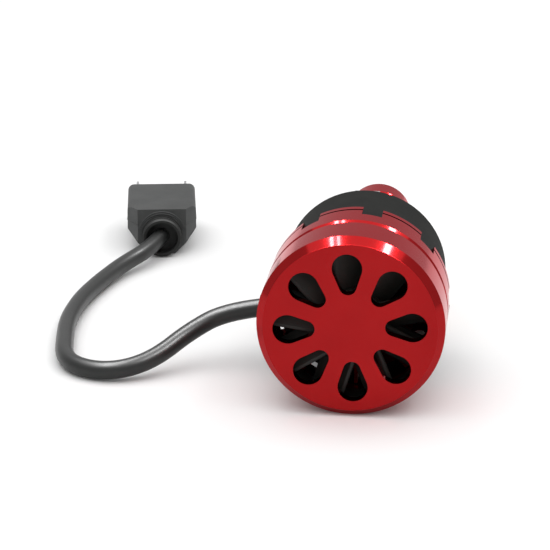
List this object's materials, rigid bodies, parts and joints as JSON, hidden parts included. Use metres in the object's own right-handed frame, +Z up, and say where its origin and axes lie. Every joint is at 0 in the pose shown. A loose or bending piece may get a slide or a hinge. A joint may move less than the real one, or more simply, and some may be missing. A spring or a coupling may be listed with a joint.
{
  "type": "fan-cooled led headlamp bulb",
  "caption": "Red anodised fan-cooled LED headlamp bulb with vented rear cover, black front body, slender light post, three-lug collar and a black lead to a three-blade plug.",
  "frame": {"origin": "on the table under the middle of the lamp, lead and plug left out", "axes": "+Y along the lamp axis from the vented rear cover to the cap of the light post, +Z up, lamp lying on its side"},
  "size_m": [0.1171, 0.1732, 0.05],
  "materials": {
    "red_anodised": "red anodised, satin",
    "red_sink": "dark red anodised, satin",
    "black_coated": "matt black coating",
    "black_plastic": "moulded",
    "lamination": "stamped electrical steel",
    "board_green": "solder mask",
    "copper_wire": "enamelled wire",
    "bright_steel": "nickel plated",
    "ferrite": "sintered",
    "bronze": "sintered",
    "white_nylon": "natural nylon",
    "red_insulation": "insulation",
    "black_insulation": "insulation",
    "bare_aluminium": "bare can",
    "black_rubber": "moulded rubber",
    "bare_copper": "copper board",
    "phosphor": "yellow phosphor",
    "black_jacket": "soft round jacket",
    "plug_plastic": "dark grey moulding"
  },
  "bodies": {
    "lamp": {"rear_cover": "red_anodised", "housing": "red_anodised", "heat_sink": "red_sink", "end_cap": "red_anodised", "front_body": "black_coated", "post_core": "black_coated", "fan_frame": "black_plastic", "stator_core": "lamination", "stator_insulators": "board_green", "stator_coils": "copper_wire", "sleeve_bearing": "bronze", "fan_board": "board_green", "hall_sensor": "black_plastic", "fan_screws": "bright_steel", "fan_standoffs": "white_nylon", "fan_lead_plus": "red_insulation", "fan_lead_minus": "black_insulation", "driver_board": "board_green", "board_spacers": "bronze", "board_screws": "bright_steel", "driver_inductor": "ferrite", "driver_capacitors": "bare_aluminium", "driver_chips": "black_plastic", "cable_gland": "black_rubber", "cap_screw": "bright_steel", "seal_ring": "black_rubber", "collar_clip": "bright_steel", "led_boards": "bare_copper", "low_beam_leds": "phosphor", "high_beam_leds": "phosphor", "beam_shields": "bright_steel", "power_cable": "black_jacket", "plug_body": "plug_plastic", "plug_boot": "black_rubber", "plug_blades": "bright_steel"},
    "fan_rotor": {"fan_impeller": "black_plastic", "rotor_yoke": "bright_steel", "rotor_magnet": "ferrite", "fan_shaft": "bright_steel", "shaft_clip": "bright_steel"},
    "collar": {"mounting_collar": "bright_steel"}
  },
  "joints": [
    {"name": "fan_spin", "type": "hinge", "parent": "lamp", "child": "fan_rotor", "pos_m": [0, -0.0435, 0.025], "axis": [0, 1, 0], "continuous": true},
    {"name": "collar_twist", "type": "hinge", "parent": "lamp", "child": "collar", "pos_m": [0, 0.005, 0.025], "axis": [0, 1, 0], "range_deg": [-15, 15]}
  ]
}
